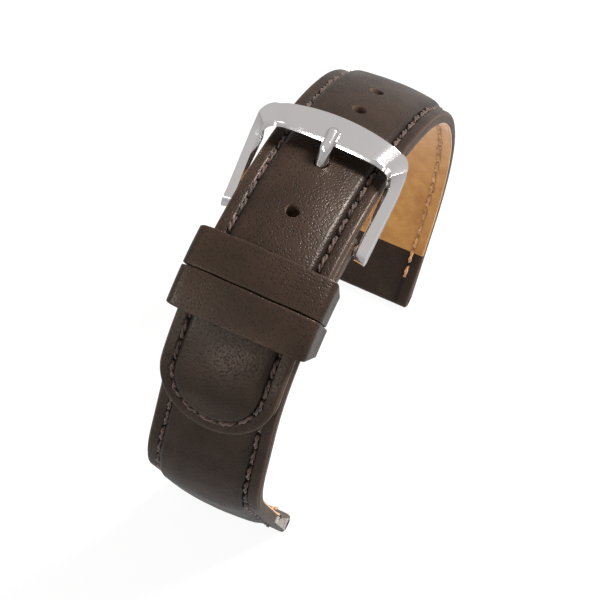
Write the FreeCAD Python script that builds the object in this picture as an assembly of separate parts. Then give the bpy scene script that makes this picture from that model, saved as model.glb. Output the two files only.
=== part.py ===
import FreeCAD, Part
import json
import math
import os

# A padded calf watch strap, fastened in its worn loop and standing on its two lug ends.
# X runs across the strap, Y from the front of the loop to the back, Z up. Lengths in mm.

# Strap blank
LUG_WIDTH = 18.0
BUCKLE_WIDTH = 16.0
TAPER_START = 28.6
LEATHER = 0.55
BOARD = 0.5
LINING = 0.75
GLUE = 0.06
CROWN = 1.3
PRESSED_CROWN = 0.75
BORDER = 2.2
CROWN_SIDE = 0.35
PADDING_SHOULDER = 0.15
PADDING_LEAST = 0.08
EDGE = LEATHER + BOARD + LINING

# Where the crown rises and falls, and the share of its height that it starts or ends with
SHORT_CROWN_START = 4.5
CROWN_END = 5.0
TIP_RISE = 4.5
TIP_SHARE = 0.55
BAR_RISE = 4.5
BAR_SHARE = 0.3
LUG_FALL = 9.0
LUG_SHARE = 0.25
BELOW_LEATHER = -LEATHER - 0.4

# Long half, from the tip: each arc is (radius of the border's outer face, degrees turned)
TIP_RUN = 1.6
KEEPER_ARC = (23.5, 61.0)
FRONT_ARC = (45.0, 38.0)
TOP_ARC = (40.0, 47.0)
BACK_ARC = (33.0, 36.5)
LONG_TAIL = 16.7
TIP_RADIUS = BUCKLE_WIDTH / 2

# Short half: it lies inside the long half up to the tip, then runs on alone
BAR_FROM_TIP = 32.9
SHORT_RUN = 9.3
SHORT_ARC = (14.6, 40.0)
SHORT_TAIL = 27.5

# Turned ends
LUG_BORE_R = 0.85
LUG_END_R = LUG_BORE_R + LEATHER
FLAP = 11.0
BAR_FLAP = 6.0
FLAP_RAMP = 3.0
BAR_CLEARANCE = 0.1

# Punched holes, measured from the tip
HOLE_R = 1.0
HOLE_PITCH = 7.0
FIRST_HOLE = 17.2
HOLE_COUNT = 7
TONGUE_HOLE = 3

# Stitching
THREAD_R = 0.22
STITCH_PITCH = 2.9
STITCH_GAP = 0.45
STITCH_INSET = 1.85
STITCH_END = 3.5
THREAD_LIFT = 0.02

# Keepers
KEEPER_WIDTH = 4.9
KEEPER_LEATHER = 0.75
KEEPER_LINING = 0.45
KEEPER_SIDE_GAP = 0.25
KEEPER_TOP_GAP = 0.15
KEEPER_BOW = 0.7
KEEPERS_APART = 0.15
FREE_KEEPER_AT = 14.8
FIXED_KEEPER_AT = FREE_KEEPER_AT + KEEPER_WIDTH + KEEPERS_APART
TAB_LENGTH = 4.0

# Spring bar in the buckle, between the insides of the frame's legs
LEG_GAP = 0.5
LEG_INNER = BUCKLE_WIDTH / 2 + LEG_GAP
BAR_R = 0.8
BAR_TUBE_BORE = 0.55
PLUNGER_R = 0.5
PLUNGER_TIP_R = 0.4
PLUNGER_COLLAR_R = 0.7
PLUNGER_INNER = 4.2
PLUNGER_TIP_REACH = 1.1
PIVOT_DEPTH = PLUNGER_TIP_REACH + 0.3
PLUNGER_TRAVEL = 1.15
PIVOT_CLEARANCE = 0.05
COLLAR = 0.25
BAR_TUBE_HALF = LEG_INNER - PIVOT_CLEARANCE - COLLAR - PLUNGER_TRAVEL - PIVOT_CLEARANCE
SPRING_WIRE = 0.18

# Buckle frame, in the bar's own axes: forward along the strap and outward from it
LEG_WIDTH = 1.9
LEG_END_R = 1.5
FRONT_INNER = 8.7
FRONT_CORNER = 11.7
FRONT_OUTER = 13.2
FRONT_TOP = 7.2
FRONT_ARCH = 0.9
FRONT_THICK = 1.5
CORNER_R = 2.2
WINDOW_R = 1.2
NOTCH_LENGTH = 1.2

# Tongue
TONGUE_R = 0.85
TONGUE_EYE_R = 1.45
TONGUE_HALF = 0.95
TONGUE_SLOT_HALF = 1.3
TONGUE_SLOT_LENGTH = 4.2
TONGUE_PATH = [(0.9, 0.25), (4.9, 1.2), (7.5, 7.7), (9.8, 7.7)]
TONGUE_BEND = 1.5
NOTCH_CLEARANCE = 0.15
ROCK_DEG = 4.0


class Spine:
    """A chain of tangent runs in the Y-Z plane, along the outer face of a strap half's border."""

    def __init__(self, start, heading, runs, outside):
        """runs holds (length, degrees turned inward); outside is 1 where it is left of travel, else -1."""
        self.outside = outside
        self.knots = [(0.0, start[0], start[1], heading)]
        self.runs = runs
        for length, turn in runs:
            s, y, z, a = self.knots[-1]
            y, z, a = self._step(y, z, a, length, turn, length)
            self.knots.append((s + length, y, z, a))
        self.length = self.knots[-1][0]

    def _step(self, y, z, a, length, turn, distance):
        """The place and heading after a distance along one run."""
        bend = -self.outside * math.radians(turn) / length
        a0 = math.radians(a)
        a1 = a0 + bend * distance
        if abs(bend) < 1e-9:
            return y + distance * math.cos(a0), z + distance * math.sin(a0), a
        y += (math.sin(a1) - math.sin(a0)) / bend
        z -= (math.cos(a1) - math.cos(a0)) / bend
        return y, z, math.degrees(a1)

    def at(self, s):
        """The place, heading in degrees at a distance along the spine, straight on past its ends."""
        if s <= 0.0:
            _, y, z, a = self.knots[0]
            return y + s * math.cos(math.radians(a)), z + s * math.sin(math.radians(a)), a
        for (length, turn), (s0, y, z, a) in zip(self.runs, self.knots):
            if s <= s0 + length:
                return self._step(y, z, a, length, turn, s - s0)
        _, y, z, a = self.knots[-1]
        beyond = s - self.length
        return y + beyond * math.cos(math.radians(a)), z + beyond * math.sin(math.radians(a)), a

    def forward(self, s):
        """The direction of travel."""
        a = math.radians(self.at(s)[2])
        return FreeCAD.Vector(0, math.cos(a), math.sin(a))

    def normal(self, s):
        """The direction away from the wrist."""
        a = math.radians(self.at(s)[2])
        return FreeCAD.Vector(0, -self.outside * math.sin(a), self.outside * math.cos(a))

    def point(self, s, x, h):
        """A point at x across the strap and h outside the border's face."""
        y, z, _ = self.at(s)
        return FreeCAD.Vector(x, y, z) + self.normal(s) * h

    def stations(self, s0, s1, step=4.0):
        """Distances from s0 to s1 with one at every end of a run and none further apart than step."""
        marks = [s0] + [k[0] for k in self.knots if s0 + 0.2 < k[0] < s1 - 0.2] + [s1]
        out = [s0]
        for a, b in zip(marks, marks[1:]):
            n = max(1, math.ceil((b - a) / step))
            out += [a + (b - a) * i / n for i in range(1, n + 1)]
        return out


def arc_run(arc, offset=0.0):
    """A spine run for an arc of (radius, degrees), offset outward."""
    radius, turn = arc
    return ((radius + offset) * math.radians(turn), turn)


def smooth(t):
    """A ramp from 0 to 1 with level ends."""
    t = min(1.0, max(0.0, t))
    return t * t * (3 - 2 * t)


KEEPER_ARC_LENGTH = arc_run(KEEPER_ARC)[0]
LONG_RUNS = [
    (TIP_RUN, 0.0),
    arc_run(KEEPER_ARC),
    arc_run(FRONT_ARC),
    arc_run(TOP_ARC),
    arc_run(BACK_ARC),
    (LONG_TAIL, 0.0),
]
# The short half's border lies inside the long half by its edge and the crown between them.
STACK = EDGE + CROWN
BAR_ANGLE = math.degrees((BAR_FROM_TIP - TIP_RUN - KEEPER_ARC_LENGTH) / FRONT_ARC[0])
SHORT_RUNS = [
    arc_run((FRONT_ARC[0], BAR_ANGLE), -STACK),
    arc_run(KEEPER_ARC, -STACK),
    (SHORT_RUN, 0.0),
    arc_run(SHORT_ARC),
    (SHORT_TAIL, 0.0),
]
OVERLAP = SHORT_RUNS[0][0] + SHORT_RUNS[1][0] + TIP_RUN


def spines(heading):
    """Both halves, with the long half's tip at the origin."""
    long_spine = Spine((0.0, 0.0), heading, LONG_RUNS, 1)
    bar = long_spine.point(BAR_FROM_TIP, 0, -STACK)
    short_spine = Spine((bar.y, bar.z), long_spine.at(BAR_FROM_TIP)[2] + 180.0, SHORT_RUNS, -1)
    return long_spine, short_spine


def lug_axis(spine):
    """The middle of a half's lug tunnel."""
    return spine.point(spine.length - LUG_END_R, 0, -LUG_END_R)


def level(heading):
    """Both halves turned so that the two lug ends stand on one level."""
    long_spine, short_spine = spines(heading)
    across = lug_axis(long_spine) - lug_axis(short_spine)
    tilt = math.degrees(math.atan2(across.z, across.y))
    return spines(heading - tilt)


LONG, SHORT = level(75.0)
BAR = SHORT.point(0, 0, -(BAR_R + BAR_CLEARANCE + LEATHER))
BAR_WRAP_BORE = BAR_R + BAR_CLEARANCE
BAR_WRAP_R = BAR_WRAP_BORE + LEATHER
BAR_FORWARD = -SHORT.forward(0)
BAR_OUTWARD = SHORT.normal(0)


def width(spine, s):
    """The strap's width: even past the buckle and the keepers, then wider to the lugs."""
    share = max(0.0, s - TAPER_START) / (spine.length - TAPER_START)
    return BUCKLE_WIDTH + (LUG_WIDTH - BUCKLE_WIDTH) * min(1.0, share)


def wire(points):
    """A closed wire through points, where a middle point given as a list makes an arc."""
    edges = []
    last = points[0]
    i = 1
    loop = points + [points[0]]
    while i < len(loop):
        if isinstance(loop[i], list):
            edges.append(Part.Arc(last, loop[i][0], loop[i + 1]).toShape())
            i += 1
        else:
            edges.append(Part.LineSegment(last, loop[i]).toShape())
        last = loop[i]
        i += 1
    return Part.Wire(edges)


def sheet(spine, s0, s1, half, low, high):
    """A flat layer from s0 to s1; half, low and high are functions of the distance."""
    sections = []
    for s in spine.stations(s0, s1):
        corners = [(-half(s), low(s)), (half(s), low(s)), (half(s), high(s)), (-half(s), high(s))]
        sections.append(wire([spine.point(s, x, h) for x, h in corners]))
    return Part.makeLoft(sections, True, False)


def pillow(spine, s0, s1, half, low, side, top):
    """A domed layer from s0 to s1, with upright sides and an arched top."""
    sections = []
    for s in spine.stations(s0, s1):
        a, b = half(s), low
        p = [spine.point(s, -a, b), spine.point(s, a, b), spine.point(s, a, side(s))]
        p += [[spine.point(s, 0, top(s))], spine.point(s, -a, side(s))]
        sections.append(wire(p))
    return Part.makeLoft(sections, True, False)


def local_point(origin, forward, outward, x, u, v):
    """A point from x across, u forward and v outward."""
    return origin + FreeCAD.Vector(x, 0, 0) + forward * u + outward * v


def side_prism(origin, forward, outward, outline, x0, x1):
    """An outline of (forward, outward) points, made solid from x0 to x1 across the strap."""
    points = []
    for p in outline:
        middle = isinstance(p, list)
        q = p[0] if middle else p
        v = local_point(origin, forward, outward, x0, q[0], q[1])
        points.append([v] if middle else v)
    return Part.Face(wire(points)).extrude(FreeCAD.Vector(x1 - x0, 0, 0))


def cross_cylinder(centre, radius, half):
    """A cylinder along X with its middle at a point."""
    start = centre - FreeCAD.Vector(half, 0, 0)
    return Part.makeCylinder(radius, 2 * half, start, FreeCAD.Vector(1, 0, 0))


def half_ring(centre, away, outward, outer, bore, half):
    """The turned leather round a bar, on the side that points away from the strap."""
    outline = [(0, outer), [(outer, 0)], (0, -outer), (0, -bore), [(bore, 0)], (0, bore)]
    return side_prism(centre, away, outward, outline, -half, half)


def tip_waste(inset):
    """What is cut away to round the long half's tip, or a line inside it."""
    radius = TIP_RADIUS - inset
    origin = LONG.point(TIP_RADIUS, 0, 0)
    t = LONG.forward(TIP_RADIUS)
    n = LONG.normal(TIP_RADIUS)
    reach = TIP_RADIUS + 3.0
    box = side_prism(origin - n * 4, t, n, [(0, 0), (-reach, 0), (-reach, 8), (0, 8)], -reach, reach)
    disc = Part.makeCylinder(radius, 12, origin - n * 6, n)
    return box.cut(disc)


def thickness(spine, s):
    """A half's edge thickness, which grows over each turned flap to hold the bar or the lug tunnel."""
    lug = smooth((s - (spine.length - FLAP - FLAP_RAMP)) / (FLAP + FLAP_RAMP - 2 * LUG_END_R))
    grown = (2 * LUG_END_R - EDGE) * lug
    if spine is SHORT:
        grown += (2 * BAR_WRAP_R - EDGE) * smooth((BAR_FLAP + FLAP_RAMP - s) / (BAR_FLAP + FLAP_RAMP - BAR_WRAP_R))
    return EDGE + grown


def lug_fall(spine, s):
    """The share of the crown that is left near a lug end."""
    return LUG_SHARE + (1 - LUG_SHARE) * smooth((spine.length - CROWN_END - s) / LUG_FALL)


def crown_long(s):
    """The padding's height along the long half, lower at the tip and the lugs."""
    rise = TIP_SHARE + (1 - TIP_SHARE) * smooth((s - BORDER) / TIP_RISE)
    return CROWN * min(rise, lug_fall(LONG, s))


def crown_short(s):
    """The padding's height along the short half, pressed flat under the long half."""
    rise = BAR_SHARE + (1 - BAR_SHARE) * smooth((s - SHORT_CROWN_START) / BAR_RISE)
    press = PRESSED_CROWN + (CROWN - PRESSED_CROWN) * smooth((s - OVERLAP) / TIP_RISE)
    return press * min(rise, lug_fall(SHORT, s))


def hole_cutters():
    """The punched holes and the worn hole that the tongue stands in."""
    cutters = [tongue_slot()]
    for k in range(HOLE_COUNT):
        s = FIRST_HOLE + HOLE_PITCH * k
        if k != TONGUE_HOLE:
            base = LONG.point(s, 0, -EDGE - 1)
            cutters.append(Part.makeCylinder(HOLE_R, EDGE + CROWN + 2, base, LONG.normal(s)))
    return cutters


def rod(path, radius, bend):
    """A round rod along (forward, outward) points in the bar's axes, with rounded bends."""
    points = [local_point(BAR, BAR_FORWARD, BAR_OUTWARD, 0, u, v) for u, v in path]
    edges = []
    last = points[0]
    for a, b, c in zip(points, points[1:], points[2:]):
        to_a = (a - b).normalize()
        to_c = (c - b).normalize()
        half_turn = (math.pi - to_a.getAngle(to_c)) / 2
        reach = bend * math.tan(half_turn)
        p, q = b + to_a * reach, b + to_c * reach
        centre = b + (to_a + to_c).normalize() * (bend / math.cos(half_turn))
        middle = centre + (b - centre).normalize() * bend
        edges += [Part.LineSegment(last, p).toShape(), Part.Arc(p, middle, q).toShape()]
        last = q
    edges.append(Part.LineSegment(last, points[-1]).toShape())
    spine = Part.Wire(edges)
    circle = Part.Wire([Part.makeCircle(radius, points[0], (points[1] - points[0]).normalize())])
    shell = spine.makePipeShell([circle], True, False)
    end = Part.makeSphere(radius, points[-1])
    return shell.fuse(end).removeSplitter()


def tongue_shape():
    """The tongue: an eye round the bar, a crank up through the strap and a rounded nose."""
    eye = cross_cylinder(BAR, TONGUE_EYE_R, TONGUE_HALF)
    body = eye.fuse(rod(TONGUE_PATH, TONGUE_R, TONGUE_BEND))
    return body.cut(cross_cylinder(BAR, BAR_R + PIVOT_CLEARANCE, TONGUE_HALF + 1)).removeSplitter()


def tongue_slot():
    """The space that the tongue's rod needs in the strap as it rocks, with a little room."""
    swept = None
    steps = 5
    for i in range(steps):
        piece = rod(TONGUE_PATH, TONGUE_R + NOTCH_CLEARANCE, TONGUE_BEND)
        piece.rotate(BAR, FreeCAD.Vector(1, 0, 0), ROCK_DEG * i / (steps - 1))
        swept = piece if swept is None else swept.fuse(piece)
    return swept


def turned(face, start, keeper_width):
    """A section face swept about the keeper arc's centre, away from the tip."""
    radius = KEEPER_ARC[0]
    centre = LONG.point(start, 0, -radius)
    return face.revolve(centre, FreeCAD.Vector(1, 0, 0), -math.degrees(keeper_width / radius))


def bowed_face(start, half, low, side, top):
    """A face across the strap with straight sides and a bowed top."""
    corners = [(-half, low), (half, low), (half, side), None, (-half, side)]
    points = []
    for c in corners:
        points.append([LONG.point(start, 0, top)] if c is None else LONG.point(start, *c))
    return Part.Face(wire(points))


def keeper_section(gap, low, start):
    """The face inside a keeper's layer that stands gap outside the strap, down to low."""
    half = BUCKLE_WIDTH / 2 + KEEPER_SIDE_GAP + gap
    top = CROWN + KEEPER_TOP_GAP + gap
    return bowed_face(start, half, low, top - KEEPER_BOW, top)


def closed_layer(start, gap, skin, low):
    """One layer of the free keeper, all the way round the strap."""
    outside = turned(keeper_section(gap + skin, low - gap - skin, start), start, KEEPER_WIDTH)
    return outside.cut(turned(keeper_section(gap, low - gap, start), start, KEEPER_WIDTH))


def open_layer(start, gap, skin, low):
    """One layer of the fixed keeper, over the top and down both sides to low."""
    outside = turned(keeper_section(gap + skin, low, start), start, KEEPER_WIDTH)
    return outside.cut(turned(keeper_section(gap, low - 1.0, start), start, KEEPER_WIDTH))


def keeper_tab(start, side):
    """The end of the fixed keeper that is tucked into the short half under its outer leather."""
    tuck = BUCKLE_WIDTH / 2 - TAB_LENGTH
    reach = BUCKLE_WIDTH / 2 + KEEPER_SIDE_GAP + KEEPER_LINING + KEEPER_LEATHER
    high = -STACK - LEATHER
    corners = [(tuck, high - BOARD), (reach, high - BOARD), (reach, high), (tuck, high)]
    face = Part.Face(wire([LONG.point(start, side * x, h) for x, h in corners]))
    return turned(face, start, KEEPER_WIDTH)


def stitches(path, pitch=STITCH_PITCH):
    """Short round threads laid along a path, which is a function from 0 to 1 and its length."""
    place, length = path
    count = int(length / pitch)
    threads = []
    for i in range(count):
        a = place((i * pitch + STITCH_GAP / 2) / length)
        b = place(((i + 1) * pitch - STITCH_GAP / 2) / length)
        threads.append(Part.makeCylinder(THREAD_R, a.distanceToPoint(b), a, b - a))
    return threads


def edge_path(spine, s0, s1, side, height):
    """A stitching line along one edge; height is a function of the distance."""
    def place(t):
        s = s0 + (s1 - s0) * t
        return spine.point(s, side * (width(spine, s) / 2 - STITCH_INSET), height(s))
    return place, s1 - s0


def tip_path(height):
    """The stitching line round the tip."""
    radius = TIP_RADIUS - STITCH_INSET
    def place(t):
        a = math.pi * (t - 0.5)
        return LONG.point(TIP_RADIUS - radius * math.cos(a), radius * math.sin(a), height)
    return place, math.pi * radius


def spring_bar_plunger(side):
    """One sprung end of the buckle's bar: a piston, a collar and the tip that the leg turns on."""
    tip_end = LEG_INNER + PLUNGER_TIP_REACH
    collar_end = LEG_INNER - PIVOT_CLEARANCE
    profile = [
        (PLUNGER_INNER, PLUNGER_R), (collar_end - COLLAR, PLUNGER_R),
        (collar_end - COLLAR, PLUNGER_COLLAR_R), (collar_end, PLUNGER_COLLAR_R),
        (collar_end, PLUNGER_TIP_R), (tip_end, PLUNGER_TIP_R),
    ]
    points = [BAR + FreeCAD.Vector(side * x, 0, r) for x, r in profile]
    points += [BAR + FreeCAD.Vector(side * tip_end, 0, 0), BAR + FreeCAD.Vector(side * PLUNGER_INNER, 0, 0)]
    return Part.Face(wire(points)).revolve(BAR, FreeCAD.Vector(1, 0, 0), 360)


def bar_point(x, u, v):
    """A point in the bar's own axes."""
    return local_point(BAR, BAR_FORWARD, BAR_OUTWARD, x, u, v)


def buckle_frame_shape():
    """The pressed frame: two legs, an arched front bar with a notch, and the pivot holes."""
    half = LEG_INNER + LEG_WIDTH
    corner_top = FRONT_TOP - FRONT_ARCH
    top_at_leg = (FRONT_CORNER - 0.6, corner_top - 0.1)
    lean = math.atan2(top_at_leg[1] - 1.3, top_at_leg[0])
    up = (-math.sin(lean) * LEG_END_R, math.cos(lean) * LEG_END_R)
    back = (-math.cos(lean) * LEG_END_R, -math.sin(lean) * LEG_END_R)
    leg_outline = [up, top_at_leg, (FRONT_OUTER, corner_top - 0.2), (FRONT_OUTER, corner_top - FRONT_THICK),
                   (FRONT_CORNER - 0.2, corner_top - 2.4), (-up[0], -up[1]), [back]]
    legs = side_prism(BAR, BAR_FORWARD, BAR_OUTWARD, leg_outline, -half, -LEG_INNER)
    legs = legs.fuse(side_prism(BAR, BAR_FORWARD, BAR_OUTWARD, leg_outline, LEG_INNER, half))

    def arch(x, drop):
        return bar_point(x, FRONT_INNER - 2, FRONT_TOP - drop)
    arched = [arch(-half, FRONT_ARCH), [arch(0, 0)], arch(half, FRONT_ARCH),
              arch(half, FRONT_ARCH + FRONT_THICK), [arch(0, FRONT_THICK)], arch(-half, FRONT_ARCH + FRONT_THICK)]
    slab = Part.Face(wire(arched)).extrude(BAR_FORWARD * (FRONT_OUTER - FRONT_INNER + 3))

    def plan(x, u):
        return bar_point(x, u, -4)
    diagonal = CORNER_R * (1 - math.sqrt(0.5))
    window_diagonal = WINDOW_R * (1 - math.sqrt(0.5))
    outline = [
        plan(-half, -3), plan(-half, FRONT_CORNER - CORNER_R),
        [plan(-half + diagonal, FRONT_CORNER - diagonal + 0.2)], plan(-half + CORNER_R, FRONT_CORNER + 0.5),
        [plan(0, FRONT_OUTER)], plan(half - CORNER_R, FRONT_CORNER + 0.5),
        [plan(half - diagonal, FRONT_CORNER - diagonal + 0.2)], plan(half, FRONT_CORNER - CORNER_R),
        plan(half, -3), plan(LEG_INNER, -3), plan(LEG_INNER, FRONT_INNER - WINDOW_R),
        [plan(LEG_INNER - window_diagonal, FRONT_INNER - window_diagonal)], plan(LEG_INNER - WINDOW_R, FRONT_INNER),
        plan(-LEG_INNER + WINDOW_R, FRONT_INNER),
        [plan(-LEG_INNER + window_diagonal, FRONT_INNER - window_diagonal)], plan(-LEG_INNER, FRONT_INNER - WINDOW_R),
        plan(-LEG_INNER, -3),
    ]
    frame = Part.Face(wire(outline)).extrude(BAR_OUTWARD * 14).common(legs.fuse(slab))
    rest_v = TONGUE_PATH[-1][1]
    notch_r = TONGUE_R + NOTCH_CLEARANCE
    notch = Part.makeCylinder(notch_r, NOTCH_LENGTH + 2, bar_point(0, FRONT_INNER - 2, rest_v), BAR_FORWARD)
    notch = notch.fuse(Part.makeSphere(notch_r, bar_point(0, FRONT_INNER + NOTCH_LENGTH, rest_v)))
    stem = rod(TONGUE_PATH, notch_r, TONGUE_BEND)
    holes = [
        cross_cylinder(bar_point(side * LEG_INNER, 0, 0), PLUNGER_TIP_R + PIVOT_CLEARANCE, PIVOT_DEPTH)
        for side in (-1, 1)
    ]
    return frame.cut([notch, stem] + holes).removeSplitter()


def one(shape):
    """The largest solid of a shape, which drops crumbs that a cut leaves in thin leather."""
    return max(shape.Solids, key=lambda solid: solid.Volume)


def pierced(shape, cutters):
    """A layer with each hole taken out of it in turn."""
    for cutter in cutters:
        shape = one(shape.cut(cutter))
    return shape


def strap_end(spine, half):
    """The leather turned round a lug tunnel: the flap inside and the round end."""
    s = spine.length - LUG_END_R
    flap = sheet(spine, spine.length - FLAP, s, half,
                 lambda d: -thickness(spine, d), lambda d: -thickness(spine, d) + LEATHER)
    turn = half_ring(spine.point(s, 0, -LUG_END_R), spine.forward(s), spine.normal(s),
                     LUG_END_R, LUG_BORE_R, LUG_WIDTH / 2)
    return [flap, turn]


def half_of(spine):
    return lambda s: width(spine, s) / 2


def crown_half(spine, inset=0.0):
    return lambda s: width(spine, s) / 2 - BORDER - inset


def padding(spine, s0, s1, crown, low=-LEATHER):
    """The filler under the crown, or the room for it where low is below the outer leather."""
    def side(s):
        return max(CROWN_SIDE * crown(s) - LEATHER + PADDING_SHOULDER, PADDING_LEAST - LEATHER)

    def top(s):
        return crown(s) - LEATHER
    return pillow(spine, s0, s1, crown_half(spine, LEATHER), low, side, top)


def strap_face(spine, s0):
    """The outer leather over the whole of a half."""
    return sheet(spine, s0, spine.length - LUG_END_R, half_of(spine), lambda s: -LEATHER, lambda s: 0.0)


def strap_dome(spine, s0, crown):
    """The outer leather's crown, before the padding is taken out of it."""
    def side(s):
        return CROWN_SIDE * crown(s)
    return pillow(spine, s0, spine.length - CROWN_END, crown_half(spine), -LEATHER / 2, side, crown)


def board_run(spine, s0, s1, inner_skin):
    """A stretch of board glued between the outer leather and an inner skin."""
    def low(s):
        return -thickness(spine, s) + inner_skin + GLUE

    def high(s):
        return -LEATHER - GLUE
    return sheet(spine, s0, s1, half_of(spine), low, high)


def strap_board(spine, s0, first_flap):
    """The board, with its ends hollowed for the tunnels."""
    bore = spine.length - LUG_END_R
    body = board_run(spine, first_flap, spine.length - FLAP, LINING)
    ends = [board_run(spine, spine.length - FLAP, bore - LUG_BORE_R / 4, LEATHER)]
    if first_flap > s0:
        ends.append(board_run(spine, s0, first_flap, LEATHER))
    board = body.fuse(ends)
    return board.cut(cross_cylinder(spine.point(bore, 0, -LUG_END_R), LUG_BORE_R, LUG_WIDTH))


def strap_lining(spine, s0):
    """The soft lining, between the turned ends."""
    return sheet(spine, s0, spine.length - FLAP, half_of(spine),
                 lambda s: -thickness(spine, s), lambda s: -thickness(spine, s) + LINING)


nodes = {}

# Long half: outer leather turned round the lug tunnel, padding, board and lining
cutters = hole_cutters()
long_pad_run = (BORDER + LEATHER, LONG.length - CROWN_END - LEATHER)
long_pad = padding(LONG, *long_pad_run, crown_long).cut(tip_waste(BORDER + LEATHER))
long_room = padding(LONG, *long_pad_run, crown_long, BELOW_LEATHER).cut(tip_waste(BORDER + LEATHER))
long_dome = strap_dome(LONG, BORDER, crown_long).cut(tip_waste(BORDER))
long_upper = strap_face(LONG, 0.0).cut(tip_waste(0.0)).fuse([long_dome] + strap_end(LONG, half_of(LONG)))
nodes["long_upper"] = pierced(long_upper.cut(long_room), cutters)
nodes["long_padding"] = pierced(long_pad, cutters)
nodes["long_board"] = pierced(strap_board(LONG, 0.0, 0.0).cut(tip_waste(0.0)), cutters)
nodes["long_lining"] = pierced(strap_lining(LONG, 0.0).cut(tip_waste(0.0)), cutters)

# Short half: the same layers, turned round the buckle's bar as well and slotted for the tongue
tabs = [keeper_tab(FIXED_KEEPER_AT, side) for side in (-1, 1)]
slot = side_prism(
    BAR, BAR_FORWARD, BAR_OUTWARD,
    [(-TONGUE_SLOT_LENGTH, -3), (3, -3), (3, 3), (-TONGUE_SLOT_LENGTH, 3)], -TONGUE_SLOT_HALF, TONGUE_SLOT_HALF,
)
bar_turn = half_ring(BAR, BAR_FORWARD, BAR_OUTWARD, BAR_WRAP_R, BAR_WRAP_BORE, BUCKLE_WIDTH / 2)
bar_flap = sheet(SHORT, 0.0, BAR_FLAP, half_of(SHORT),
                 lambda s: -thickness(SHORT, s), lambda s: -thickness(SHORT, s) + LEATHER)
short_pad_run = (SHORT_CROWN_START + LEATHER, SHORT.length - CROWN_END - LEATHER)
short_pad = padding(SHORT, *short_pad_run, crown_short)
short_room = padding(SHORT, *short_pad_run, crown_short, BELOW_LEATHER)
short_parts = [strap_dome(SHORT, SHORT_CROWN_START, crown_short), bar_flap, bar_turn]
short_upper = strap_face(SHORT, 0.0).fuse(short_parts + strap_end(SHORT, half_of(SHORT)))
nodes["short_upper"] = one(short_upper.cut(short_room).cut(slot))
nodes["short_padding"] = one(short_pad)
bar_bore = cross_cylinder(BAR, BAR_WRAP_BORE, BUCKLE_WIDTH)
nodes["short_board"] = one(strap_board(SHORT, BAR_WRAP_BORE / 4, BAR_FLAP).cut([bar_bore, slot] + tabs))
nodes["short_lining"] = one(strap_lining(SHORT, BAR_FLAP))

# Stitching: one row near each edge and round the tip, on the face and on the lining
above = THREAD_R + THREAD_LIFT


def face_height(s):
    return above


def lining_height(spine):
    return lambda s: -thickness(spine, s) - above


def rows(spine, s0, height):
    ends = spine.length - STITCH_END
    return [thread for side in (-1, 1) for thread in stitches(edge_path(spine, s0, ends, side, height))]


long_face_rows = rows(LONG, TIP_RADIUS, face_height) + stitches(tip_path(above))
long_lining_rows = rows(LONG, TIP_RADIUS, lining_height(LONG)) + stitches(tip_path(-EDGE - above))
nodes["long_stitching"] = Part.makeCompound(long_face_rows)
nodes["long_lining_stitching"] = Part.makeCompound(long_lining_rows)
nodes["short_stitching"] = Part.makeCompound(rows(SHORT, BAR_FLAP, face_height))
nodes["short_lining_stitching"] = Part.makeCompound(rows(SHORT, BAR_FLAP, lining_height(SHORT)))

# Keepers: each a folded strip of leather with a thin lining
tab_low = -STACK - LEATHER - BOARD
fixed = open_layer(FIXED_KEEPER_AT, KEEPER_LINING, KEEPER_LEATHER, tab_low)
nodes["fixed_keeper"] = one(fixed.fuse(tabs))
nodes["fixed_keeper_lining"] = one(open_layer(FIXED_KEEPER_AT, 0.0, KEEPER_LINING, -STACK))
under = -STACK - EDGE - 2 * above - KEEPER_TOP_GAP
nodes["free_keeper"] = one(closed_layer(FREE_KEEPER_AT, KEEPER_LINING, KEEPER_LEATHER, under))
nodes["free_keeper_lining"] = one(closed_layer(FREE_KEEPER_AT, 0.0, KEEPER_LINING, under))

# Buckle: frame, tongue and the sprung bar that both turn on
nodes["buckle_frame"] = one(buckle_frame_shape())
nodes["buckle_tongue"] = one(tongue_shape())
tube = cross_cylinder(BAR, BAR_R, BAR_TUBE_HALF)
nodes["bar_tube"] = tube.cut(cross_cylinder(BAR, BAR_TUBE_BORE, BAR_TUBE_HALF + 1))
nodes["bar_plunger_left"] = spring_bar_plunger(-1)
nodes["bar_plunger_right"] = spring_bar_plunger(1)
spring = cross_cylinder(BAR, PLUNGER_R, PLUNGER_INNER)
nodes["bar_spring"] = spring.cut(cross_cylinder(BAR, PLUNGER_R - SPRING_WIRE, PLUNGER_INNER + 1))

# The row's origin is the middle of the floor under the strap.
corners = [v for shape in nodes.values() for v in shape.tessellate(0.05)[0]]
middle_y = (min(v.y for v in corners) + max(v.y for v in corners)) / 2
floor = lug_axis(LONG).z - LUG_END_R
ORIGIN = FreeCAD.Vector(0, middle_y, floor)


def metres(v):
    """A point in the row's frame, in metres."""
    return [round(c / 1000, 6) for c in (v - ORIGIN)]


os.makedirs("parts", exist_ok=True)
for name, shape in nodes.items():
    shape.translate(-ORIGIN)
    shape.exportStep("parts/" + name + ".step")
    print(name, len(shape.Solids), round(shape.Volume, 2), shape.isValid())

places = {
    "long_lug_axis": metres(lug_axis(LONG)),
    "short_lug_axis": metres(lug_axis(SHORT)),
    "bar_axis": metres(BAR),
    "keeper_centre": metres(LONG.point(TIP_RUN, 0, -KEEPER_ARC[0])),
    "low": [round(min(getattr(v, a) for v in corners) - getattr(ORIGIN, a), 3) for a in "xyz"],
    "high": [round(max(getattr(v, a) for v in corners) - getattr(ORIGIN, a), 3) for a in "xyz"],
    "front_heading_deg": round(LONG.at(0)[2], 3),
    "tip": metres(LONG.point(0, 0, 0)),
    "free_keeper_reach_deg": round(math.degrees((FREE_KEEPER_AT - TIP_RUN) / KEEPER_ARC[0]), 2),
}
print(json.dumps(places))
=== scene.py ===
import bpy
import math
import random
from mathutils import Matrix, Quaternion, Vector, noise


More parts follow.
